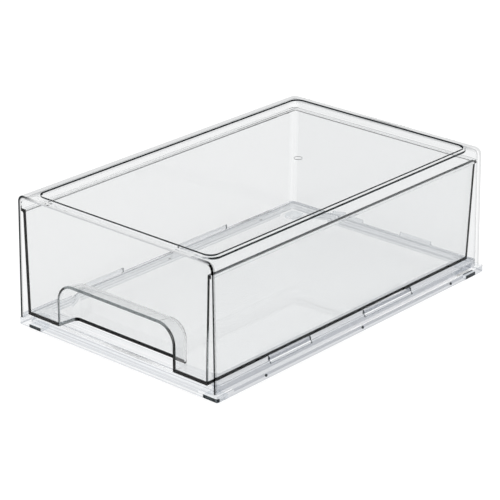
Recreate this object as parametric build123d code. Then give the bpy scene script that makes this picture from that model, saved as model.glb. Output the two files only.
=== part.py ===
from build123d import *
import math
import os

# Clear stackable drawer unit for make-up: a moulded cover snapped on a base, with one pull-out drawer.
# All sizes are millimetres. X runs across, Y from the front (negative) to the rear, Z up from the table.

# Whole unit
CASE_W = 210.0          # across the flange of the base
CASE_D = 330.0          # front to rear over the flange
CASE_H = 113.0          # table to the top of the cover, pads included
PAD_T = 2.8             # thickness of the foot pads under the base

# Cover: top, two sides and rear in one moulding, open at the front and below
COVER_T = 3.0           # side and rear walls
TOP_T = 1.9             # top panel
SIDE_LEAN = 1.9         # draft of each side wall, seam to top
REAR_LEAN = 1.2         # draft of the rear wall, seam to top
COVER_SETBACK = 0.7     # open front edge behind the front of the base
CORNER_R = 7.5          # upright rear corners
TOP_R = 6.0             # rounded top edges

# Sunken panel in the top, where the unit above is centred
RECESS_SIDE = 14.0      # from the sides of the base
RECESS_FRONT = 9.2      # from the front of the base
RECESS_REAR = 11.7      # from the rear of the base
RECESS_DEPTH = 1.9
RECESS_R = 8.0          # its corners, seen from above
STEP_BEVEL = 0.5        # bevel at the foot of the step
GATE_D = 7.0            # moulding gate mark below the panel
GATE_T = 0.4
GATE_Y = 213.0          # from the front of the base

# Base: flange, raised slide rails round a lower floor
FLANGE_H = 5.9          # upright face of the flange
FLANGE_LIP = 1.1        # flange proud of the cover
FLANGE_FRONT_R = 1.5    # upright front corners
FLANGE_REAR_R = 3.0     # upright rear corners
FLANGE_BEVEL = 0.6      # lower outside edge
FIT_GAP = 0.25          # play between the cover and the rail that it slips over
RAIL_H = 5.1            # rails above the flange
RAIL_W = 17.0           # rails, from the outside of the base
WELL_SLOPE = 0.8        # slope of the sides of the low floor, run over height
BASE_T = 2.0            # skin of the base
BASE_FLOOR_Z = 3.2      # top of the low floor, above the underside of the base
WELL_R = 6.0            # corners of the low floor
RIM_W = 2.3             # ring that the base stands on, behind the rail's outer face
SEAT = 16.5             # flat seat over each foot pad
PAD = 12.5              # square foot pad
PAD_IN = 6.2            # pad from the sides of the base
PAD_SETBACK = 5.0       # pad from the front and the rear
PAD_R = 2.5             # corners of a pad
PAD_BEVEL = 0.4         # lower edge of a pad

# Snap tabs of the base and their slots in the cover
SIDE_TABS = ((63.0, 48.0), (176.0, 60.0))   # start from the front of the base, and length
REAR_TAB_X = 36.5       # middle of each rear tab, from the middle of the unit
REAR_TAB_L = 32.0
TAB_T = 1.8
TAB_H = 3.8             # tab above the rail
RIDGE = 1.5             # snap ridge on the tab
RIDGE_Z = 3.3           # foot of the ridge above the flange
RIDGE_H = 2.2
RIDGE_FLAT = 0.7        # upright catch at the foot of the ridge
SLOT_GAP = 0.2          # play round a ridge in its slot
PIN_D = 2.2             # round marks in the flange
PIN_DEEP = 1.5
PIN_Z = 3.3             # above the underside of the base
PIN_Y = 54.7            # first mark, from the front
PIN_STEP = 115.0
PIN_COUNT = 3

# Drawer
DRAWER_T = 2.0          # walls
DRAWER_FLOOR_T = 2.4
SLIDE_GAP = 0.3         # floor of the drawer over the rails
RIM_DROP = 11.2         # rim of the drawer below the top of the cover
DRAWER_LEAN = 1.9       # draft of each side, floor to rim
DRAWER_REAR_LEAN = 2.6
DRAWER_SETBACK = 0.2    # front of the drawer behind the front of the base
FRONT_T = 2.4           # front wall
FRONT_GAP = 0.6         # front wall below the top of the case
FRONT_TOP_R = 4.8       # upper corners of the front wall
LIP = 2.3               # side lip of the rim
REAR_LIP = 1.5
LIP_T = 1.8
LIP_R = 1.4             # hollow below the lip
LIP_STEPS = 3           # flats that make up that hollow
LIP_GAP = 0.5           # lip to the walls of the cover
DRAWER_R = 0.6          # upright rear corners

# Finger alcove in the front of the drawer, open to the front and below
ALCOVE_W = 121.0
ALCOVE_H = 35.6         # above the underside of the drawer
ALCOVE_DEEP = 17.5
ALCOVE_R = 15.0         # upper corners
ALCOVE_BACK_R = 4.0
ALCOVE_TAPER = 7.0      # degrees

# Worked out from the sizes above
FRONT = -CASE_D / 2
REAR = CASE_D / 2
SEAM_Z = PAD_T + FLANGE_H
RAIL_Z = SEAM_Z + RAIL_H
COVER_FRONT = FRONT + COVER_SETBACK
RAIL_IN = FLANGE_LIP + COVER_T + FIT_GAP
DRAWER_Z = RAIL_Z + SLIDE_GAP
RIM_Z = CASE_H - RIM_DROP
OVER = 1.0              # cutters run this far past the face that they open


def lean_at(z, lean):
    """How far a wall of the cover has leaned in at height z."""
    return lean * (z - SEAM_Z) / (CASE_H - SEAM_Z)


def case_half(z):
    """Half the outer width of the cover at height z."""
    return CASE_W / 2 - FLANGE_LIP - lean_at(z, SIDE_LEAN)


def case_rear(z):
    """Outer face of the cover's rear wall at height z."""
    return REAR - FLANGE_LIP - lean_at(z, REAR_LEAN)


def plan(half, front, rear, rear_r=0.0, front_r=0.0, z=0.0):
    """Outline seen from above, at height z, its rear and front corners rounded where a radius is given."""
    outline = Pos(0, (front + rear) / 2) * Rectangle(2 * half, rear - front)
    if front_r > 0:
        outline = fillet(outline.vertices().sort_by(Axis.Y)[:2], front_r)
    if rear_r > 0:
        outline = fillet(outline.vertices().sort_by(Axis.Y)[-2:], rear_r)
    return Pos(0, 0, z) * outline


def prism(outline, height):
    """Upright solid on an outline."""
    return extrude(outline, amount=height, dir=(0, 0, 1))


def tapered(lower, upper):
    """Straight-sided solid between two outlines at different heights."""
    return loft([lower, upper], ruled=True)


def mirrored(solid):
    """A solid and its twin on the other side of the unit."""
    return solid + mirror(solid, about=Plane.YZ)


def side_bar(profile, start, length):
    """Bar on the right-hand side: points (x, z) of its section, run along Y from the front."""
    section = Plane.XZ * make_face(Polyline(*profile, close=True))
    return Pos(0, FRONT + start, 0) * extrude(section, amount=length, dir=(0, 1, 0))


def rear_bar(profile, middle, length):
    """Bar on the rear: points (y, z) of its section, run along X about its middle."""
    section = Plane.YZ * make_face(Polyline(*profile, close=True))
    return Pos(middle - length / 2, 0, 0) * extrude(section, amount=length, dir=(1, 0, 0))


def ridge_profile(face, grow=0.0):
    """Section of a snap ridge on an outer face: a ramp above a flat catch."""
    foot = SEAM_Z + RIDGE_Z - grow
    head = SEAM_Z + RIDGE_Z + RIDGE_H + grow
    return (
        (face - TAB_T, foot),
        (face + RIDGE + 2 * grow, foot),
        (face + RIDGE + 2 * grow, foot + RIDGE_FLAT + grow),
        (face, head),
        (face - TAB_T, head),
    )


def tab_profile(face):
    """Section of a snap tab behind an outer face, its top corner cut off."""
    top = RAIL_Z + TAB_H
    return (
        (face - TAB_T, RAIL_Z - BASE_T),
        (face, RAIL_Z - BASE_T),
        (face, top - TAB_T / 2),
        (face - TAB_T / 2, top),
        (face - TAB_T, top),
    )


def make_cover():
    """Thin shell with a sunken top panel of even thickness, and slots for the snap tabs."""
    outer = tapered(
        plan(case_half(SEAM_Z), COVER_FRONT, case_rear(SEAM_Z), CORNER_R, z=SEAM_Z),
        plan(case_half(CASE_H), COVER_FRONT, case_rear(CASE_H), CORNER_R, z=CASE_H),
    )
    rim = outer.faces().sort_by(Axis.Z)[-1].edges().sort_by(Axis.Y)[1:]
    outer = fillet(rim, TOP_R)

    ceiling = CASE_H - TOP_T
    hollow = tapered(
        plan(case_half(SEAM_Z) - COVER_T, COVER_FRONT - OVER, case_rear(SEAM_Z) - COVER_T,
             CORNER_R - COVER_T, z=SEAM_Z),
        plan(case_half(ceiling) - COVER_T, COVER_FRONT - OVER, case_rear(ceiling) - COVER_T,
             CORNER_R - COVER_T, z=ceiling),
    )
    rim = hollow.faces().sort_by(Axis.Z)[-1].edges().sort_by(Axis.Y)[1:]
    hollow = fillet(rim, TOP_R - TOP_T)

    half = CASE_W / 2 - RECESS_SIDE
    front = FRONT + RECESS_FRONT
    rear = REAR - RECESS_REAR
    pocket = prism(
        plan(half, front, rear, RECESS_R, RECESS_R, CASE_H - RECESS_DEPTH), RECESS_DEPTH + OVER
    )
    pocket = chamfer(pocket.faces().sort_by(Axis.Z)[0].edges(), STEP_BEVEL)
    sunk = ceiling - RECESS_DEPTH
    below = prism(
        plan(half + TOP_T, front - TOP_T, rear + TOP_T, RECESS_R + TOP_T, RECESS_R + TOP_T, sunk),
        RECESS_DEPTH,
    )
    below = chamfer(below.faces().sort_by(Axis.Z)[0].edges(), STEP_BEVEL)
    cover = outer - (hollow - below) - pocket

    cover += Pos(0, FRONT + GATE_Y, sunk - GATE_T / 2) * Cylinder(GATE_D / 2, GATE_T)

    notch = ridge_profile(CASE_W / 2 - RAIL_IN, SLOT_GAP)
    for start, length in SIDE_TABS:
        cover -= mirrored(side_bar(notch, start - SLOT_GAP, length + 2 * SLOT_GAP))
    notch = ridge_profile(REAR - RAIL_IN, SLOT_GAP)
    cover -= mirrored(rear_bar(notch, REAR_TAB_X, REAR_TAB_L + 2 * SLOT_GAP))
    return cover


def well(grow, low, high):
    """Hollow over the low floor, its sides sloping to the rails, or with grow the outside of its skin."""
    ends = []
    for z in (low, high):
        inset = RAIL_W + WELL_SLOPE * (RAIL_Z - z) - grow
        ends.append(plan(CASE_W / 2 - inset, FRONT + inset, REAR - inset, WELL_R + grow, WELL_R + grow, z))
    return tapered(*ends)


def make_base():
    """Moulded base: flange, hollow slide rails, a low floor, seats for the pads and snap tabs."""
    half = CASE_W / 2
    rail_r = CORNER_R - COVER_T
    base = prism(plan(half, FRONT, REAR, FLANGE_REAR_R, FLANGE_FRONT_R, PAD_T), FLANGE_H)
    base = chamfer(base.faces().sort_by(Axis.Z)[0].edges(), FLANGE_BEVEL)
    base += prism(plan(half - RAIL_IN, FRONT, REAR - RAIL_IN, rail_r, z=SEAM_Z), RAIL_H)

    floor_z = PAD_T + BASE_FLOOR_Z
    base -= well(0, floor_z, RAIL_Z + OVER)
    channel_in = RAIL_IN + RIM_W
    channel = prism(
        plan(half - channel_in, FRONT + channel_in, REAR - channel_in, rail_r, rail_r, PAD_T - OVER),
        RAIL_Z - BASE_T - PAD_T + OVER,
    )
    channel -= well(BASE_T * math.hypot(1, WELL_SLOPE), floor_z - BASE_T, RAIL_Z)
    seat_x = half - channel_in - SEAT / 2
    seat_y = CASE_D / 2 - channel_in - SEAT / 2
    for side in (-1, 1):
        for end in (-1, 1):
            channel -= Pos(side * seat_x, end * seat_y, PAD_T + BASE_T / 2) * Box(SEAT, SEAT, BASE_T)
    base -= channel

    face = half - RAIL_IN
    for profile in (tab_profile(face), ridge_profile(face)):
        for start, length in SIDE_TABS:
            base += mirrored(side_bar(profile, start, length))
    face = REAR - RAIL_IN
    for profile in (tab_profile(face), ridge_profile(face)):
        base += mirrored(rear_bar(profile, REAR_TAB_X, REAR_TAB_L))

    for n in range(PIN_COUNT):
        mark = Pos(half - PIN_DEEP / 2, FRONT + PIN_Y + n * PIN_STEP, PAD_T + PIN_Z)
        base -= mirrored(mark * Rot(0, 90, 0) * Cylinder(PIN_D / 2, PIN_DEEP))
    return base


def alcove_face(grow, y):
    """Arched outline of the alcove in an upright plane at y, its foot below the drawer's floor."""
    foot = DRAWER_Z - ALCOVE_DEEP
    top = DRAWER_Z + ALCOVE_H + grow
    arch = Pos(0, (foot + top) / 2) * Rectangle(ALCOVE_W + 2 * grow, top - foot)
    arch = fillet(arch.vertices().sort_by(Axis.Y)[-2:], ALCOVE_R + grow)
    return Plane((0, y, 0), x_dir=(1, 0, 0), z_dir=(0, -1, 0)) * arch


def alcove(grow, front, rear):
    """Pocket of the alcove, or with grow its outside, narrowing to the rear."""
    body = extrude(alcove_face(grow, front), amount=rear - front, dir=(0, 1, 0), taper=ALCOVE_TAPER)
    back = body.faces().sort_by(Axis.Y)[-1].edges().sort_by(Axis.Z)[1:]
    return fillet(back, ALCOVE_BACK_R + grow)


def make_drawer():
    """Drafted tub with an outward lip, a front as high as the case and an arched finger alcove."""
    front = FRONT + DRAWER_SETBACK
    rim_half = case_half(RIM_Z) - COVER_T - LIP_GAP - LIP
    rim_rear = case_rear(RIM_Z) - COVER_T - LIP_GAP - REAR_LIP
    foot_half = rim_half - DRAWER_LEAN
    foot_rear = rim_rear - DRAWER_REAR_LEAN
    tub = tapered(
        plan(foot_half, front, foot_rear, DRAWER_R, z=DRAWER_Z),
        plan(rim_half, front, rim_rear, DRAWER_R, z=RIM_Z),
    )

    lip_z = RIM_Z - LIP_T
    tub += prism(plan(rim_half + LIP, front, rim_rear + REAR_LIP, CORNER_R - COVER_T, z=lip_z), LIP_T)
    flare = []
    for n in range(LIP_STEPS + 1):
        turn = math.pi / 2 * n / LIP_STEPS
        out = LIP_R * (1 - math.cos(turn))
        drop = LIP_R * (1 - math.sin(turn))
        back = (LIP_T + drop) / (RIM_Z - DRAWER_Z)
        half = rim_half - back * DRAWER_LEAN + out
        rear = rim_rear - back * DRAWER_REAR_LEAN + out
        flare.append(plan(half, front, rear, DRAWER_R + 2 * out, z=lip_z - drop))
    tub += loft(flare, ruled=True)

    front_top = CASE_H - TOP_T - FRONT_GAP
    top_half = case_half(front_top) - COVER_T - LIP_GAP
    panel = make_face(Polyline(
        (-rim_half - LIP, lip_z),
        (rim_half + LIP, lip_z),
        (top_half, front_top),
        (-top_half, front_top),
        close=True,
    ))
    panel = fillet(panel.vertices().sort_by(Axis.Y)[-2:], FRONT_TOP_R)
    panel = Plane((0, front, 0), x_dir=(1, 0, 0), z_dir=(0, -1, 0)) * panel
    tub += extrude(panel, amount=FRONT_T, dir=(0, 1, 0))

    rise = DRAWER_FLOOR_T / (RIM_Z - DRAWER_Z)
    hollow = tapered(
        plan(foot_half + rise * DRAWER_LEAN - DRAWER_T, front + FRONT_T,
             foot_rear + rise * DRAWER_REAR_LEAN - DRAWER_T, z=DRAWER_Z + DRAWER_FLOOR_T),
        plan(rim_half - DRAWER_T, front + FRONT_T, rim_rear - DRAWER_T, z=RIM_Z),
    )
    bump = alcove(DRAWER_T, front, front + ALCOVE_DEEP + DRAWER_T)
    pocket = alcove(0, front - OVER, front + ALCOVE_DEEP)
    return tub - (hollow - bump) - pocket


def make_pad(side, end):
    """Foot pad at one corner."""
    pad = extrude(RectangleRounded(PAD, PAD, PAD_R), amount=PAD_T)
    pad = chamfer(pad.faces().sort_by(Axis.Z)[0].edges(), PAD_BEVEL)
    x = CASE_W / 2 - PAD_IN - PAD / 2
    y = CASE_D / 2 - PAD_SETBACK - PAD / 2
    return Pos(side * x, end * y, 0) * pad


PARTS = {
    "case_cover": make_cover(),
    "base_tray": make_base(),
    "drawer_tub": make_drawer(),
    "foot_pad_front_left": make_pad(-1, -1),
    "foot_pad_front_right": make_pad(1, -1),
    "foot_pad_rear_left": make_pad(-1, 1),
    "foot_pad_rear_right": make_pad(1, 1),
}

os.makedirs("parts", exist_ok=True)
for name, solid in PARTS.items():
    export_step(solid, f"parts/{name}.step")
    low = solid.bounding_box().min
    high = solid.bounding_box().max
    print(f"{name}: {len(solid.solids())} solid, {solid.volume / 1000:.1f} cm3, valid {solid.is_valid}")
    print(f"  x {low.X:.1f} to {high.X:.1f}, y {low.Y:.1f} to {high.Y:.1f}, z {low.Z:.1f} to {high.Z:.1f}")
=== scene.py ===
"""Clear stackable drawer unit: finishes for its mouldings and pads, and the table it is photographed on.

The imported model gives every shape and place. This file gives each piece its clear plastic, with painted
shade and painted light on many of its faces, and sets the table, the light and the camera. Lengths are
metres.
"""

import math

import bmesh
import bpy
from bpy.props import FloatProperty, FloatVectorProperty, PointerProperty
from bpy.types import Operator, Panel, PropertyGroup
from mathutils import Matrix, Vector


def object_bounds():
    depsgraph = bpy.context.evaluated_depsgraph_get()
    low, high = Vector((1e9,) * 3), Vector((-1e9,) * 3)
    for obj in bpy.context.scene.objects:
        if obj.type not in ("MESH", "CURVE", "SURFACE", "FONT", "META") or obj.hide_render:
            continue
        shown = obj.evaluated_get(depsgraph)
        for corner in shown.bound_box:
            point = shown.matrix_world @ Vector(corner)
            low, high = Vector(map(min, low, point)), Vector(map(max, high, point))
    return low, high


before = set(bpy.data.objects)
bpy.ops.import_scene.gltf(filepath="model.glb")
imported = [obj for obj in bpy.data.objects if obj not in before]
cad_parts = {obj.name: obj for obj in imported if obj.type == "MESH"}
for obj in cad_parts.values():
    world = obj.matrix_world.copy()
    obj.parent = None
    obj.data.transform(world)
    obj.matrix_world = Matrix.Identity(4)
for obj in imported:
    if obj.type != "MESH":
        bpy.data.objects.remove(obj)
CAD_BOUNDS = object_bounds()

bl_info = {
    "name": "Clear Drawer Unit",
    "version": (1, 0, 0),
    "blender": (4, 5, 0),
    "location": "View3D > Sidebar > Drawer Unit",
    "description": "Finishes and stage for a clear stackable drawer unit",
    "category": "Object",
}

COVER = "case_cover"
BASE = "base_tray"
DRAWER = "drawer_tub"
PADS = (
    "foot_pad_front_left",
    "foot_pad_front_right",
    "foot_pad_rear_left",
    "foot_pad_rear_right",
)

# Section of the cover, seen from the front
SIDE_T = 0.003          # side walls
TOP_T = 0.0019          # top panel, and the depth that it is sunk
TOP_R = 0.006           # rounded top edges
SIDE_LEAN = 0.0182      # lean of the side walls, over their height
FLANGE_LIP = 0.0011     # base proud of the cover
SEAM_Z = 0.0087         # foot of the cover
STEP_IN = 0.011         # the sunken panel's step lies at least this far inside the sides of the base
GATE_R = 0.0045         # round the moulding gate mark
RIM_IN = 0.0135         # rim round the sunken panel, from the sides and the rear of the base
REAR_FROM = 0.9         # the rear wall lies beyond this share of the way from the middle to the rear

# Base
PIN_DEEP = 0.0015       # round marks in the flange
PIN_NEAR = 0.00015      # faces this near to that depth are the ends of the marks
PIN_LOW = 0.0048        # foot of the marks
PIN_HIGH = 0.0074       # and their top
PINS_TO = 0.9           # the marks lie within this share of the way from the middle to the ends
PAD_T = 0.0028          # underside of the base
TAB_IN = 0.012          # snap tabs lie within this distance of the sides
TABS_TO = 0.8           # and side tabs within this share of the way from the middle to the ends
RAIL_W = 0.017          # rails, from the sides
RAIL_Z = 0.0138         # top of the rails
PAD_EDGE = (0.0963, 0.1575)   # outer strips of the pads, painted dark as shade, from the middle to the side and to the front

# Faces, by the direction of their normal
SQUARE = 0.9            # a face square to an axis has more than this of its normal along it
LEVEL = 0.95            # a level one has more than this of it along Z
UPRIGHT = 0.5           # an upright one has less than this of it along Z
ROUND_FROM = 0.08       # a rounded edge has more than this of it along two axes

# Finishes, and painted shade lines
INNER_W = 0.0024        # painted shade line along the inner border of the cover's front edge
OUTER_W = 0.003         # and along the outer border
LINE_IN = 0.025         # both are faint along the top, further than this from the sides
FOOT_W = 0.002          # painted shade line along the foot of the base
FOOT_SHADE = 0.6         # its strength
STREAK_FINE = 1500.0    # streaks in the base, across them
STREAK_LONG = 4.0       # and along them
STREAK_RANGE = (0.45, 0.65)   # noise where a streak starts, and where it is full
RUB_SCALE = 14.0        # rubbed patches
RUB_RANGE = (0.5, 0.85)       # noise where the rubbing starts, and where it is full
SEED_WAY = (1.0, 0.37, -0.61)   # way that a seed moves the marks on a surface
EDGE_SOFT = 0.0005      # soft border of a strip
PAD_BEND = 1.05         # refractive index that a pad is shown with
PAD_ROUGH = 0.2         # its roughness
PAD_GRAIN = 2500.0      # fineness of its grain
PAD_GRAIN_H = 0.00002   # height of the grain
HAIR = 0.00004          # gap between pieces that touch
SHADOW_COLOUR = (0.96, 0.965, 0.97)

# Stage
TABLE_SIDES = 96
HORIZON_SOFT = 0.3      # the white end of the table fades from this share of its height
SKY_SOFT = 0.2          # the light overhead grows over this height
SENSOR = 36.0           # width of the camera's sensor, in mm
FAR_END = 100.0         # end of the camera's sight

# Light bounces: a ray meets two faces for each wall that it passes
WALL_BOUNCES = 40
SHADOW_BOUNCES = 48


class ClearPlasticSettings(PropertyGroup):
    """Finish of the clear mouldings, with their painted shade and painted light tints."""

    refraction: FloatProperty(
        name="Refraction",
        description="Refractive index of the plastic",
        default=1.53, min=1.3, max=1.7,
    )
    drawer_colour: FloatVectorProperty(
        name="Drawer colour",
        description="Colour of the light that stays after a long way through the drawer's walls",
        subtype="COLOR", size=3, min=0.0, max=1.0, default=(0.64, 0.662, 0.668),
    )
    drawer_depth: FloatProperty(
        name="Drawer depth",
        description="How fast the drawer's walls take up that colour, per metre",
        default=75.0, min=0.0,
    )
    mirror: FloatProperty(
        name="Mirror",
        description="How much of the room the drawer mirrors",
        subtype="FACTOR", default=0.3, min=0.0, max=1.0,
    )
    # Painted light: the clear top edge of the drawer's front is made opaque and pale.
    painted_pale_edge_colour: FloatVectorProperty(
        name="Painted pale edge colour",
        description="Colour of the top edge of the drawer's front",
        subtype="COLOR", size=3, min=0.0, max=1.0, default=(0.58, 0.59, 0.605),
    )
    wall_bend: FloatProperty(
        name="Wall bend",
        description="Refractive index that thin walls are shown with",
        default=1.02, min=1.0, max=1.7,
    )
    skin: FloatProperty(
        name="Skin",
        description="How much of the room a thin wall mirrors",
        subtype="FACTOR", default=0.12, min=0.0, max=1.0,
    )
    cover_colour: FloatVectorProperty(
        name="Cover colour",
        description="Colour of light through a wall of the cover",
        subtype="COLOR", size=3, min=0.0, max=1.0, default=(0.965, 0.968, 0.97),
    )
    # Painted shade: the rear wall is tinted darker than the other walls of the same plastic.
    rear_shade_colour: FloatVectorProperty(
        name="Rear shade colour",
        description="Colour of light through the rear wall of the cover",
        subtype="COLOR", size=3, min=0.0, max=1.0, default=(0.845, 0.85, 0.854),
    )
    # Painted shade: the top panel and the rear left corner are tinted a little darker than the walls.
    panel_shade_colour: FloatVectorProperty(
        name="Panel shade colour",
        description="Colour of light through the top panel of the cover, and its rear left corner",
        subtype="COLOR", size=3, min=0.0, max=1.0, default=(0.945, 0.948, 0.95),
    )
    # Painted shade: the left wall is tinted darker than the right one.
    left_shade_colour: FloatVectorProperty(
        name="Left shade colour",
        description="Colour of light through the left wall of the cover",
        subtype="COLOR", size=3, min=0.0, max=1.0, default=(0.88, 0.883, 0.885),
    )
    # Painted light: the rounded edges are tinted a little lighter than the flat walls.
    round_light_colour: FloatVectorProperty(
        name="Round light colour",
        description="Colour of light through a rounded edge of the cover",
        subtype="COLOR", size=3, min=0.0, max=1.0, default=(0.97, 0.973, 0.975),
    )
    # Painted shade: dark tint of the left and rear rim and the rear right corner, where the clear rim shows
    # dark lines.
    far_rim_shade_colour: FloatVectorProperty(
        name="Far rim shade colour",
        description="Colour of light through the left and rear rim of the cover, and its rear right corner",
        subtype="COLOR", size=3, min=0.0, max=1.0, default=(0.69, 0.695, 0.70),
    )
    # Painted shade: near-black tint of the sunken panel's step, the gate mark's ring and the lines along the
    # front edge.
    painted_dark_line_colour: FloatVectorProperty(
        name="Step shade colour",
        description="Colour of light through the step of the sunken panel",
        subtype="COLOR", size=3, min=0.0, max=1.0, default=(0.001, 0.0014, 0.0016),
    )
    # Painted shade lines along the cover's front edge: their strengths.
    shade_line_dark: FloatProperty(
        name="Dark shade line",
        description="Strength of the dark lines along the cover's front edge",
        subtype="FACTOR", default=1.0, min=0.0, max=1.0,
    )
    shade_line_faint: FloatProperty(
        name="Faint shade line",
        description="Strength of the faint lines along the cover's front edge",
        subtype="FACTOR", default=0.5, min=0.0, max=1.0,
    )
    shade_line_top: FloatProperty(
        name="Top shade line",
        description="What stays of both along the top",
        subtype="FACTOR", default=0.2, min=0.0, max=1.0,
    )
    base_bend: FloatProperty(
        name="Base bend",
        description="Refractive index that the base is shown with",
        default=1.2, min=1.0, max=1.7,
    )
    # Painted shade: the right side of the base is tinted much darker than its front, rear and left, which
    # are the same plastic.
    base_side_shade_colour: FloatVectorProperty(
        name="Base side shade colour",
        description="Colour of light through the right side of the base",
        subtype="COLOR", size=3, min=0.0, max=1.0, default=(0.52, 0.535, 0.565),
    )
    base_end_colour: FloatVectorProperty(
        name="Base end colour",
        description="Colour of light through the front, the rear and the left side of the base",
        subtype="COLOR", size=3, min=0.0, max=1.0, default=(0.88, 0.893, 0.91),
    )
    floor_colour: FloatVectorProperty(
        name="Floor colour",
        description="Colour of light through the floor and the underside of the base",
        subtype="COLOR", size=3, min=0.0, max=1.0, default=(0.975, 0.978, 0.98),
    )
    # Painted shade: dark tint of the bevelled lower edge of the base.
    bevel_shade_colour: FloatVectorProperty(
        name="Bevel shade colour",
        description="Colour of light through the bevelled lower edge of the base",
        subtype="COLOR", size=3, min=0.0, max=1.0, default=(0.35, 0.37, 0.40),
    )
    # Painted shade: near-black tint of the ends of the snap tabs and of the round marks.
    mark_shade_colour: FloatVectorProperty(
        name="Mark shade colour",
        description="Colour of light through the ends of the snap tabs and the round marks",
        subtype="COLOR", size=3, min=0.0, max=1.0, default=(0.008, 0.01, 0.012),
    )
    # Colour of the streaks, and of the painted shade line along the foot of the base.
    streak_and_foot_shade_colour: FloatVectorProperty(
        name="Streak and foot shade colour",
        description="Colour of light through the streaks of the base",
        subtype="COLOR", size=3, min=0.0, max=1.0, default=(0.42, 0.44, 0.475),
    )
    streak: FloatProperty(
        name="Streaks",
        description="Strength of the streaks of the base",
        subtype="FACTOR", default=0.55, min=0.0, max=1.0,
    )
    ripple: FloatProperty(
        name="Ripple",
        description="Height of the slow waves that moulding leaves in the walls",
        subtype="DISTANCE", unit="LENGTH", default=0.00002, min=0.0,
    )
    ripple_length: FloatProperty(
        name="Ripple length",
        description="Length of those waves",
        subtype="DISTANCE", unit="LENGTH", default=0.06, min=0.001,
    )
    polish: FloatProperty(
        name="Polish",
        description="Roughness of a clean moulded face",
        subtype="FACTOR", default=0.01, min=0.0, max=1.0,
    )
    handling: FloatProperty(
        name="Handling",
        description="Roughness where the plastic has been rubbed",
        subtype="FACTOR", default=0.025, min=0.0, max=1.0,
    )


class PadSettings(PropertyGroup):
    """Finish of the soft foot pads."""

    colour: FloatVectorProperty(
        name="Colour",
        description="Colour of light through a pad from above",
        subtype="COLOR", size=3, min=0.0, max=1.0, default=(0.86, 0.88, 0.90),
    )
    # Painted shade: near-black tint of the front strips and the rear right strips of the pads.
    side_shade_colour: FloatVectorProperty(
        name="Side shade colour",
        description="Colour of light through the dark sides of a pad",
        subtype="COLOR", size=3, min=0.0, max=1.0, default=(0.0002, 0.0006, 0.0008),
    )


class StageSettings(PropertyGroup):
    """Table, light and camera."""

    table_radius: FloatProperty(
        name="Table radius",
        description="Radius of the pale table",
        subtype="DISTANCE", unit="LENGTH", default=9.0,
    )
    table_colour: FloatVectorProperty(
        name="Table colour",
        description="Colour of the table",
        subtype="COLOR", size=3, min=0.0, max=1.0, default=(0.25, 0.25, 0.25),
    )
    table_lift: FloatProperty(
        name="Table lift",
        description="White that the table adds where it is seen",
        default=0.86, min=0.0,
    )
    sky: FloatProperty(
        name="Sky",
        description="Brightness of the light overhead",
        default=1.2, min=0.0,
    )
    sky_from: FloatProperty(
        name="Sky from",
        description="Height where that light starts, 1 overhead",
        default=0.62,
    )
    horizon: FloatProperty(
        name="Horizon",
        description="Brightness at the end of the table",
        default=1.0, min=0.0,
    )
    horizon_to: FloatProperty(
        name="Horizon to",
        description="Height where that brightness ends",
        default=0.3,
    )
    room: FloatProperty(
        name="Room",
        description="Brightness of the room between the two",
        default=0.8, min=0.0,
    )
    aim: FloatVectorProperty(
        name="Aim",
        description="Point that the camera looks at",
        subtype="TRANSLATION", unit="LENGTH", size=3, default=(0.0149, -0.0273, 0.0565),
    )
    distance: FloatProperty(
        name="Distance",
        description="Camera to that point",
        subtype="DISTANCE", unit="LENGTH", default=1.7288,
    )
    azimuth: FloatProperty(
        name="Azimuth",
        description="Camera round to the right of the front",
        subtype="ANGLE", unit="ROTATION", default=math.radians(41.30),
    )
    elevation: FloatProperty(
        name="Elevation",
        description="Camera above the table",
        subtype="ANGLE", unit="ROTATION", default=math.radians(22.70),
    )
    roll: FloatProperty(
        name="Roll",
        description="Camera turned about its line of sight",
        subtype="ANGLE", unit="ROTATION", default=math.radians(0.284),
    )
    lens: FloatProperty(
        name="Lens",
        description="Focal length of the camera",
        subtype="DISTANCE_CAMERA", unit="CAMERA", default=158.01,
    )


class DrawerUnitSettings(PropertyGroup):
    """All settings of the drawer unit."""

    plastic: PointerProperty(type=ClearPlasticSettings)
    pads: PointerProperty(type=PadSettings)
    stage: PointerProperty(type=StageSettings)


def new_material(name):
    """A material with an empty node tree, and that tree."""
    material = bpy.data.materials.new(name)
    material.use_nodes = True
    tree = material.node_tree
    tree.nodes.clear()
    return material, tree


def add(tree, kind, **values):
    """A node of one kind, with its properties set, or its inputs where no property has that name."""
    node = tree.nodes.new(kind)
    for key, value in values.items():
        if hasattr(node, key):
            setattr(node, key, value)
        else:
            node.inputs[key].default_value = value
    return node


def calc(tree, operation, *values):
    """Result of a math node fed with sockets or numbers."""
    node = add(tree, "ShaderNodeMath", operation=operation)
    for slot, value in zip(node.inputs, values):
        if isinstance(value, bpy.types.NodeSocket):
            tree.links.new(value, slot)
        else:
            slot.default_value = value
    return node.outputs["Value"]


def remap(tree, value, start, end, low, high, curve="SMOOTHSTEP"):
    """A value taken from the range between start and end to the one between low and high."""
    node = add(tree, "ShaderNodeMapRange", interpolation_type=curve)
    tree.links.new(value, node.inputs["Value"])
    node.inputs["From Min"].default_value = start
    node.inputs["From Max"].default_value = end
    node.inputs["To Min"].default_value = low
    node.inputs["To Max"].default_value = high
    return node.outputs["Result"]


def blend(tree, share, first, second):
    """Colour that goes from the first to the second with a share."""
    mix = add(tree, "ShaderNodeMix", data_type="RGBA")
    tree.links.new(share, mix.inputs["Factor"])
    mix.inputs["A"].default_value = (*first, 1.0)
    mix.inputs["B"].default_value = (*second, 1.0)
    return mix.outputs["Result"]


def object_place(tree):
    """Object coordinates, which stay on the piece."""
    return add(tree, "ShaderNodeTexCoord").outputs["Object"]


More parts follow.
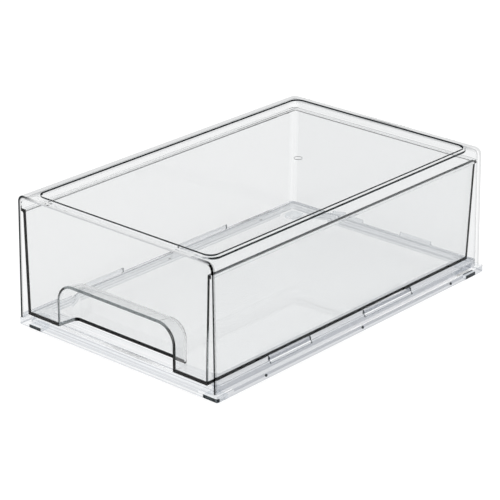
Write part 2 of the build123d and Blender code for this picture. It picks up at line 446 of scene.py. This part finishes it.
def moved_place(tree, **values):
    """Object coordinates with a Location or a Scale."""
    node = add(tree, "ShaderNodeMapping", **values)
    tree.links.new(object_place(tree), node.inputs["Vector"])
    return node.outputs["Vector"]


def split(tree, place):
    """X, Y and Z of a place."""
    node = add(tree, "ShaderNodeSeparateXYZ")
    tree.links.new(place, node.inputs["Vector"])
    return node.outputs["X"], node.outputs["Y"], node.outputs["Z"]


def noise(tree, place, **values):
    """Noise over a place."""
    node = add(tree, "ShaderNodeTexNoise", **values)
    tree.links.new(place, node.inputs["Vector"])
    return node.outputs["Fac"]


def surface_marks(tree, settings, seed, plastic):
    """Slow moulding waves and rubbed patches on a clear surface."""
    link = tree.links.new
    place = moved_place(tree, Location=[seed * way for way in SEED_WAY])
    waves = noise(tree, place, Scale=1.0 / settings.ripple_length, Detail=1.0)
    bump = add(tree, "ShaderNodeBump", Strength=1.0, Distance=settings.ripple)
    link(waves, bump.inputs["Height"])
    link(bump.outputs["Normal"], plastic.inputs["Normal"])
    rubbed = noise(tree, place, Scale=RUB_SCALE, Detail=4.0, Roughness=0.6)
    wear = remap(tree, rubbed, *RUB_RANGE, settings.polish, settings.handling, curve="LINEAR")
    link(wear, plastic.inputs["Roughness"])


def glass(tree, colour, bend):
    """Shader that lets light through, with a colour and a refractive index."""
    plastic = add(tree, "ShaderNodeBsdfPrincipled")
    plastic.inputs["Base Color"].default_value = (*colour, 1.0)
    plastic.inputs["Transmission Weight"].default_value = 1.0
    plastic.inputs["IOR"].default_value = bend
    return plastic


def plastic_output(tree, plastic):
    """Output of a material, which lets light through to the table, so that the shadow is pale."""
    link = tree.links.new
    passing = add(tree, "ShaderNodeBsdfTransparent")
    passing.inputs["Color"].default_value = (*SHADOW_COLOUR, 1.0)
    path = add(tree, "ShaderNodeLightPath")
    mix = add(tree, "ShaderNodeMixShader")
    link(path.outputs["Is Shadow Ray"], mix.inputs["Fac"])
    link(plastic.outputs["BSDF"], mix.inputs[1])
    link(passing.outputs["BSDF"], mix.inputs[2])
    out = add(tree, "ShaderNodeOutputMaterial")
    link(mix.outputs["Shader"], out.inputs["Surface"])
    return out


def clear_plastic(name, settings, seed):
    """Clear plastic of the drawer: light bends through it, and long ways along a wall darken."""
    material, tree = new_material(name)
    plastic = glass(tree, (1.0, 1.0, 1.0), settings.refraction)
    plastic.inputs["Specular Tint"].default_value = (settings.mirror, settings.mirror, settings.mirror, 1.0)
    surface_marks(tree, settings, seed, plastic)
    inside = add(tree, "ShaderNodeVolumeAbsorption")
    inside.inputs["Color"].default_value = (*settings.drawer_colour, 1.0)
    inside.inputs["Density"].default_value = settings.drawer_depth
    out = plastic_output(tree, plastic)
    tree.links.new(inside.outputs["Volume"], out.inputs["Volume"])
    return material


def streaks(tree, settings, colour, scale, plastic):
    """Soft streaks along a wall of the base, and a painted shade line along its foot."""
    grain = noise(tree, moved_place(tree, Scale=scale), Scale=1.0, Detail=2.0)
    lines = calc(tree, "MULTIPLY", remap(tree, grain, *STREAK_RANGE, 0.0, 1.0), settings.streak)
    height = split(tree, object_place(tree))[2]
    # Painted shade: darker along the foot of the base.
    foot = remap(tree, height, PAD_T + 0.5 * FOOT_W, PAD_T + FOOT_W, FOOT_SHADE, 0.0)
    tint = blend(tree, calc(tree, "MAXIMUM", lines, foot), colour, settings.streak_and_foot_shade_colour)
    tree.links.new(tint, plastic.inputs["Base Color"])


def thin_wall(name, settings, colour, bend, seed, scale=None):
    """Thin clear wall: what lies behind it stays in place, and its polished skin mirrors the room."""
    material, tree = new_material(name)
    plastic = glass(tree, colour, bend)
    plastic.inputs["Coat Weight"].default_value = settings.skin
    plastic.inputs["Coat IOR"].default_value = settings.refraction
    plastic.inputs["Coat Roughness"].default_value = settings.polish
    surface_marks(tree, settings, seed, plastic)
    if scale:
        streaks(tree, settings, colour, scale, plastic)
    plastic_output(tree, plastic)
    return material


def dark_edge(name, settings, colour, seed):
    """End of a clear wall with a painted shade tint, dark where light would run away along the real wall."""
    material, tree = new_material(name)
    plastic = glass(tree, colour, settings.wall_bend)
    surface_marks(tree, settings, seed, plastic)
    plastic_output(tree, plastic)
    return material


def painted_pale_edge(name, settings, seed):
    """Pale edge that lets no light through: painted light, standing in for the light-grey line of the clear
    edge.
    """
    material, tree = new_material(name)
    plastic = add(tree, "ShaderNodeBsdfPrincipled")
    plastic.inputs["Base Color"].default_value = (*settings.painted_pale_edge_colour, 1.0)
    surface_marks(tree, settings, seed, plastic)
    plastic_output(tree, plastic)
    return material


def border(tree, across, height, half, top, radius):
    """Distance outside a border with two upright sides and a top with rounded corners."""
    x = calc(tree, "SUBTRACT", across, half - radius)
    z = calc(tree, "SUBTRACT", height, top - radius)
    over_x = calc(tree, "MAXIMUM", x, 0.0)
    over_z = calc(tree, "MAXIMUM", z, 0.0)
    squares = calc(tree, "MULTIPLY_ADD", over_x, over_x, calc(tree, "MULTIPLY", over_z, over_z))
    corner = calc(tree, "SQRT", squares)
    inside = calc(tree, "MINIMUM", calc(tree, "MAXIMUM", x, z), 0.0)
    return calc(tree, "SUBTRACT", calc(tree, "ADD", corner, inside), radius)


def front_edge(name, settings, seed):
    """Front edge of the cover, with painted shade lines: its inner line darkens to the right, and its outer
    one to the left.
    """
    material, tree = new_material(name)
    x, _, z = split(tree, object_place(tree))
    half = CAD_BOUNDS[1][0] - FLANGE_LIP + SIDE_LEAN * SEAM_Z
    top = CAD_BOUNDS[1][2]
    across = calc(tree, "MULTIPLY_ADD", z, SIDE_LEAN, calc(tree, "ABSOLUTE", x))
    inner = border(tree, across, z, half - SIDE_T, top - TOP_T, TOP_R - TOP_T)
    outer = border(tree, across, z, half, top, TOP_R)
    inner_shade_line = calc(
        tree, "MULTIPLY",
        remap(tree, inner, 0.5 * INNER_W, INNER_W, 1.0, 0.0),
        remap(tree, x, -half, half, settings.shade_line_faint, settings.shade_line_dark),
    )
    outer_shade_line = calc(
        tree, "MULTIPLY",
        remap(tree, outer, -OUTER_W, -0.5 * OUTER_W, 0.0, 1.0),
        remap(tree, x, -half, half, settings.shade_line_dark, settings.shade_line_faint),
    )
    lines = calc(tree, "MAXIMUM", inner_shade_line, outer_shade_line)
    along_top = remap(tree, across, half - LINE_IN, half - TOP_R, settings.shade_line_top, 1.0)
    tint = blend(tree, calc(tree, "MULTIPLY", lines, along_top), settings.cover_colour, settings.painted_dark_line_colour)

    plastic = glass(tree, settings.cover_colour, settings.wall_bend)
    tree.links.new(tint, plastic.inputs["Base Color"])
    surface_marks(tree, settings, seed, plastic)
    plastic_output(tree, plastic)
    return material


def soft_pad(name, settings, seed):
    """Clear soft pad with a fine grain, and painted shade along its front and at the rear right."""
    material, tree = new_material(name)
    x, y, _ = split(tree, object_place(tree))
    side, front = PAD_EDGE
    rear = calc(tree, "GREATER_THAN", y, 0.0)
    side_shade = calc(tree, "MULTIPLY", rear, remap(tree, x, side, side + EDGE_SOFT, 0.0, 1.0))
    front_shade = remap(tree, y, -front - EDGE_SOFT, -front, 1.0, 0.0)
    tint = blend(tree, calc(tree, "MAXIMUM", side_shade, front_shade), settings.colour, settings.side_shade_colour)

    grain = noise(tree, moved_place(tree, Location=(seed, seed, seed)), Scale=PAD_GRAIN, Detail=2.0)
    bump = add(tree, "ShaderNodeBump", Strength=0.2, Distance=PAD_GRAIN_H)
    tree.links.new(grain, bump.inputs["Height"])
    pad = glass(tree, settings.colour, PAD_BEND)
    pad.inputs["Roughness"].default_value = PAD_ROUGH
    tree.links.new(tint, pad.inputs["Base Color"])
    tree.links.new(bump.outputs["Normal"], pad.inputs["Normal"])
    plastic_output(tree, pad)
    return material


def finish_node(node, materials, choose):
    """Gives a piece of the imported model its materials, each face by the number that choose returns."""
    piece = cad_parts[node]
    piece.data.materials.clear()
    for material in materials:
        piece.data.materials.append(material)
    for face in piece.data.polygons:
        face.material_index = choose(face)


def hair_gap(node, level, shift):
    """Opens a hair between two pieces that touch at one level, so that light passes between them."""
    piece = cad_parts[node]
    touching = [point.index for point in piece.data.vertices if abs(point.co.z - level) < abs(shift)]
    piece.vertex_groups.new(name="touching").add(touching, 1.0, "REPLACE")
    gap = piece.modifiers.new("hair gap", "DISPLACE")
    gap.vertex_group = "touching"
    gap.direction = "Z"
    gap.mid_level = 0.0
    gap.strength = shift


def cover_face(face):
    """Finish of a face of the cover.

    0 right wall, 1 rounded edge, 2 step of the panel or gate mark, 3 front edge, 4 rear wall,
    5 far rim or rear right corner, 6 left wall, 7 panel or rear left corner.
    """
    x, y, z = face.center
    lean = face.normal
    low, high = CAD_BOUNDS
    down = high[2] - z
    inside = abs(x) < high[0] - STEP_IN
    upright = abs(lean.z) < UPRIGHT
    if lean.y < -SQUARE and y < low[1] + SIDE_T:
        return 3
    hidden = lean.x < -ROUND_FROM or lean.y > ROUND_FROM
    step = inside and down < TOP_T and (upright or hidden and abs(lean.z) < SQUARE)
    right_step = inside and x > 0 and TOP_T < down < 2 * TOP_T and lean.x > UPRIGHT
    gate = abs(x) < GATE_R and 2 * TOP_T < down < 3 * TOP_T and upright
    # The step, the right step and the gate mark's ring get the painted dark shade.
    if step or right_step or gate:
        return 2
    left = x < RIM_IN - high[0]
    far = left or y > high[1] - RIM_IN
    rear_corner = abs(lean.x) > ROUND_FROM and abs(lean.y) > ROUND_FROM
    if rear_corner and x > 0 or far and down < TOP_R:
        return 5
    if rear_corner:
        return 7
    if abs(lean.y) > ROUND_FROM and y > REAR_FROM * high[1]:
        return 4
    if left:
        return 6
    if inside and abs(lean.z) > SQUARE:
        return 7
    return 1 if ROUND_FROM < abs(lean.z) < LEVEL and not inside else 0


def base_face(face):
    """Finish of a face of the base.

    0 right side, 1 floor, 2 end of a tab or round mark, 3 lower edge, 4 front and rear, 5 left side.
    """
    x, y, z = face.center
    lean = face.normal
    high = CAD_BOUNDS[1]
    beside = high[0] - abs(x)
    tab_end = abs(lean.y) > SQUARE and z > SEAM_Z and beside < TAB_IN and abs(y) < TABS_TO * high[1]
    mark = PIN_LOW < z < PIN_HIGH and beside < PIN_DEEP + PIN_NEAR and abs(y) < PINS_TO * high[1]
    if tab_end or mark and (beside > PIN_DEEP - PIN_NEAR or abs(lean.x) < UPRIGHT):
        return 2
    outer = beside < TAB_IN or high[1] - abs(y) < TAB_IN
    if outer and z < PIN_LOW and UPRIGHT < -lean.z < SQUARE:
        return 3
    if lean.z > SQUARE and abs(z - RAIL_Z) < EDGE_SOFT:
        along_side = beside < RAIL_W
    elif not outer or abs(lean.z) > UPRIGHT:
        return 1
    else:
        along_side = abs(lean.x) > UPRIGHT
    if not along_side:
        return 4
    return 0 if x > 0 else 5


def drawer_face(face):
    """Finish of a face of the drawer: 0 wall, 1 top edge of the front."""
    top = max(corner[2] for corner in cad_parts[DRAWER].bound_box)
    return 1 if face.normal.z > SQUARE and face.center.z > top - EDGE_SOFT else 0


class DRAWERUNIT_OT_cover(Operator):
    """Finish the clear cover, with painted shade and painted light tints on its walls and edges"""

    bl_idname = "drawer_unit.cover"
    bl_label = "Cover"

    def execute(self, context):
        settings = context.scene.drawer_unit.plastic
        bend = settings.wall_bend
        # Each wall of the one clear plastic gets its own tint: painted shade on the rear, left, panel, steps
        # and far rim, painted light on the rounds.
        finish_node(COVER, (
            thin_wall("clear cover wall", settings, settings.cover_colour, bend, 1.0),
            thin_wall("clear cover round", settings, settings.round_light_colour, bend, 2.0),
            dark_edge("cover step", settings, settings.painted_dark_line_colour, 3.0),
            front_edge("cover front edge", settings, 4.0),
            thin_wall("clear cover rear", settings, settings.rear_shade_colour, bend, 11.0),
            dark_edge("clear cover far rim", settings, settings.far_rim_shade_colour, 14.0),
            thin_wall("clear cover left", settings, settings.left_shade_colour, bend, 15.0),
            thin_wall("clear cover panel", settings, settings.panel_shade_colour, bend, 16.0),
        ), cover_face)
        hair_gap(COVER, SEAM_Z, HAIR)
        return {"FINISHED"}


class DRAWERUNIT_OT_base(Operator):
    """Finish the base with its slide rails and snap tabs, and painted shade on its right side and edges"""

    bl_idname = "drawer_unit.base"
    bl_label = "Base"

    def execute(self, context):
        settings = context.scene.drawer_unit.plastic
        bend = settings.base_bend
        along_side = (STREAK_FINE, STREAK_LONG, STREAK_FINE)
        along_end = (STREAK_LONG, STREAK_FINE, STREAK_FINE)
        # The right side gets the painted shade tint, the ends and the left side stay lighter.
        finish_node(BASE, (
            thin_wall("clear base side", settings, settings.base_side_shade_colour, bend, 5.0, along_side),
            thin_wall("clear base floor", settings, settings.floor_colour, settings.wall_bend, 6.0),
            dark_edge("base marks", settings, settings.mark_shade_colour, 7.0),
            dark_edge("base bevel", settings, settings.bevel_shade_colour, 12.0),
            thin_wall("clear base end", settings, settings.base_end_colour, bend, 13.0, along_end),
            thin_wall("clear base left", settings, settings.base_end_colour, bend, 17.0, along_side),
        ), base_face)
        return {"FINISHED"}


class DRAWERUNIT_OT_drawer(Operator):
    """Finish the pull-out drawer, with the top edge of its front painted pale as painted light"""

    bl_idname = "drawer_unit.drawer"
    bl_label = "Drawer"

    def execute(self, context):
        settings = context.scene.drawer_unit.plastic
        finish_node(DRAWER, (
            clear_plastic("clear drawer plastic", settings, 8.0),
            painted_pale_edge("painted pale drawer edge", settings, 10.0),
        ), drawer_face)
        return {"FINISHED"}


class DRAWERUNIT_OT_pads(Operator):
    """Finish the four foot pads, with their painted shade strips"""

    bl_idname = "drawer_unit.pads"
    bl_label = "Foot pads"

    def execute(self, context):
        settings = context.scene.drawer_unit.pads
        material = soft_pad("soft clear pad", settings, 9.0)
        for node in PADS:
            finish_node(node, (material,), lambda face: 0)
            hair_gap(node, PAD_T, -HAIR)
        return {"FINISHED"}


def camera_axes(settings):
    """Right, up and backward directions of the camera."""
    back = Vector((
        math.sin(settings.azimuth) * math.cos(settings.elevation),
        -math.cos(settings.azimuth) * math.cos(settings.elevation),
        math.sin(settings.elevation),
    ))
    level = Vector((math.cos(settings.azimuth), math.sin(settings.azimuth), 0.0))
    upright = back.cross(level)
    right = level * math.cos(settings.roll) + upright * math.sin(settings.roll)
    up = upright * math.cos(settings.roll) - level * math.sin(settings.roll)
    return right, up, back


def place_camera(settings):
    """Camera at the photograph's angle."""
    data = bpy.data.cameras.new("camera")
    data.sensor_fit = "HORIZONTAL"
    data.sensor_width = SENSOR
    data.lens = settings.lens
    data.clip_end = FAR_END
    right, up, back = camera_axes(settings)
    camera = bpy.data.objects.new("camera", data)
    place = Vector(settings.aim) + back * settings.distance
    camera.matrix_world = Matrix.Translation(place) @ Matrix((right, up, back)).transposed().to_4x4()
    bpy.context.scene.collection.objects.link(camera)
    bpy.context.scene.camera = camera


def lay_table(settings):
    """Wide pale table: it takes the unit's shadow, and is white where it is seen."""
    mesh = bpy.data.meshes.new("table")
    shape = bmesh.new()
    bmesh.ops.create_circle(shape, cap_ends=True, segments=TABLE_SIDES, radius=settings.table_radius)
    shape.to_mesh(mesh)
    shape.free()
    table = bpy.data.objects.new("table", mesh)
    bpy.context.scene.collection.objects.link(table)

    material, tree = new_material("pale table")
    link = tree.links.new
    matt = add(tree, "ShaderNodeBsdfDiffuse")
    matt.inputs["Color"].default_value = (*settings.table_colour, 1.0)
    path = add(tree, "ShaderNodeLightPath")
    seen = calc(tree, "MAXIMUM", path.outputs["Is Camera Ray"], path.outputs["Is Glossy Ray"])
    seen = calc(tree, "MAXIMUM", seen, path.outputs["Is Transmission Ray"])
    glow = add(tree, "ShaderNodeEmission")
    link(calc(tree, "MULTIPLY", seen, settings.table_lift), glow.inputs["Strength"])
    both = add(tree, "ShaderNodeAddShader")
    link(matt.outputs["BSDF"], both.inputs[0])
    link(glow.outputs["Emission"], both.inputs[1])
    out = add(tree, "ShaderNodeOutputMaterial")
    link(both.outputs["Shader"], out.inputs["Surface"])
    mesh.materials.append(material)


def fill_world(settings):
    """Studio: a soft light overhead, a white end of the table, and a pale room between the two."""
    world = bpy.data.worlds.new("studio")
    bpy.context.scene.world = world
    world.use_nodes = True
    tree = world.node_tree
    tree.nodes.clear()
    height = split(tree, add(tree, "ShaderNodeTexCoord").outputs["Generated"])[2]
    end = settings.horizon_to
    low = remap(tree, height, HORIZON_SOFT * end, end, settings.horizon, settings.room)
    start = settings.sky_from
    high = remap(tree, height, start, start + SKY_SOFT, 0.0, settings.sky)
    light = add(tree, "ShaderNodeBackground", Color=(1.0, 1.0, 1.0, 1.0))
    tree.links.new(calc(tree, "MAXIMUM", low, high), light.inputs["Strength"])
    out = add(tree, "ShaderNodeOutputWorld")
    tree.links.new(light.outputs["Background"], out.inputs["Surface"])


class DRAWERUNIT_OT_stage(Operator):
    """Set the table, the studio light and the camera"""

    bl_idname = "drawer_unit.stage"
    bl_label = "Stage"

    def execute(self, context):
        settings = context.scene.drawer_unit.stage
        lay_table(settings)
        fill_world(settings)
        place_camera(settings)
        scene = context.scene
        scene.view_settings.view_transform = "Standard"
        scene.cycles.max_bounces = WALL_BOUNCES
        scene.cycles.transmission_bounces = WALL_BOUNCES
        scene.cycles.glossy_bounces = WALL_BOUNCES
        scene.cycles.transparent_max_bounces = SHADOW_BOUNCES
        return {"FINISHED"}


class DRAWERUNIT_PT_panel(Panel):
    """Sidebar panel of the drawer unit"""

    bl_idname = "DRAWERUNIT_PT_panel"
    bl_label = "Drawer Unit"
    bl_space_type = "VIEW_3D"
    bl_region_type = "UI"
    bl_category = "Drawer Unit"

    def draw(self, context):
        settings = context.scene.drawer_unit
        for group in (settings.plastic, settings.pads, settings.stage):
            box = self.layout.box()
            for key in group.bl_rna.properties.keys():
                if key not in {"rna_type", "name"}:
                    box.prop(group, key)
        for operator in OPERATORS:
            self.layout.operator(operator.bl_idname)


OPERATORS = (
    DRAWERUNIT_OT_cover,
    DRAWERUNIT_OT_base,
    DRAWERUNIT_OT_drawer,
    DRAWERUNIT_OT_pads,
    DRAWERUNIT_OT_stage,
)
CLASSES = (
    ClearPlasticSettings,
    PadSettings,
    StageSettings,
    DrawerUnitSettings,
    *OPERATORS,
    DRAWERUNIT_PT_panel,
)


def register():
    for cls in CLASSES:
        bpy.utils.register_class(cls)
    bpy.types.Scene.drawer_unit = PointerProperty(type=DrawerUnitSettings)


def unregister():
    del bpy.types.Scene.drawer_unit
    for cls in reversed(CLASSES):
        bpy.utils.unregister_class(cls)


def main():
    """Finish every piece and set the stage."""
    register()
    bpy.ops.drawer_unit.cover()
    bpy.ops.drawer_unit.base()
    bpy.ops.drawer_unit.drawer()
    bpy.ops.drawer_unit.pads()
    bpy.ops.drawer_unit.stage()


if __name__ == "__main__":
    main()
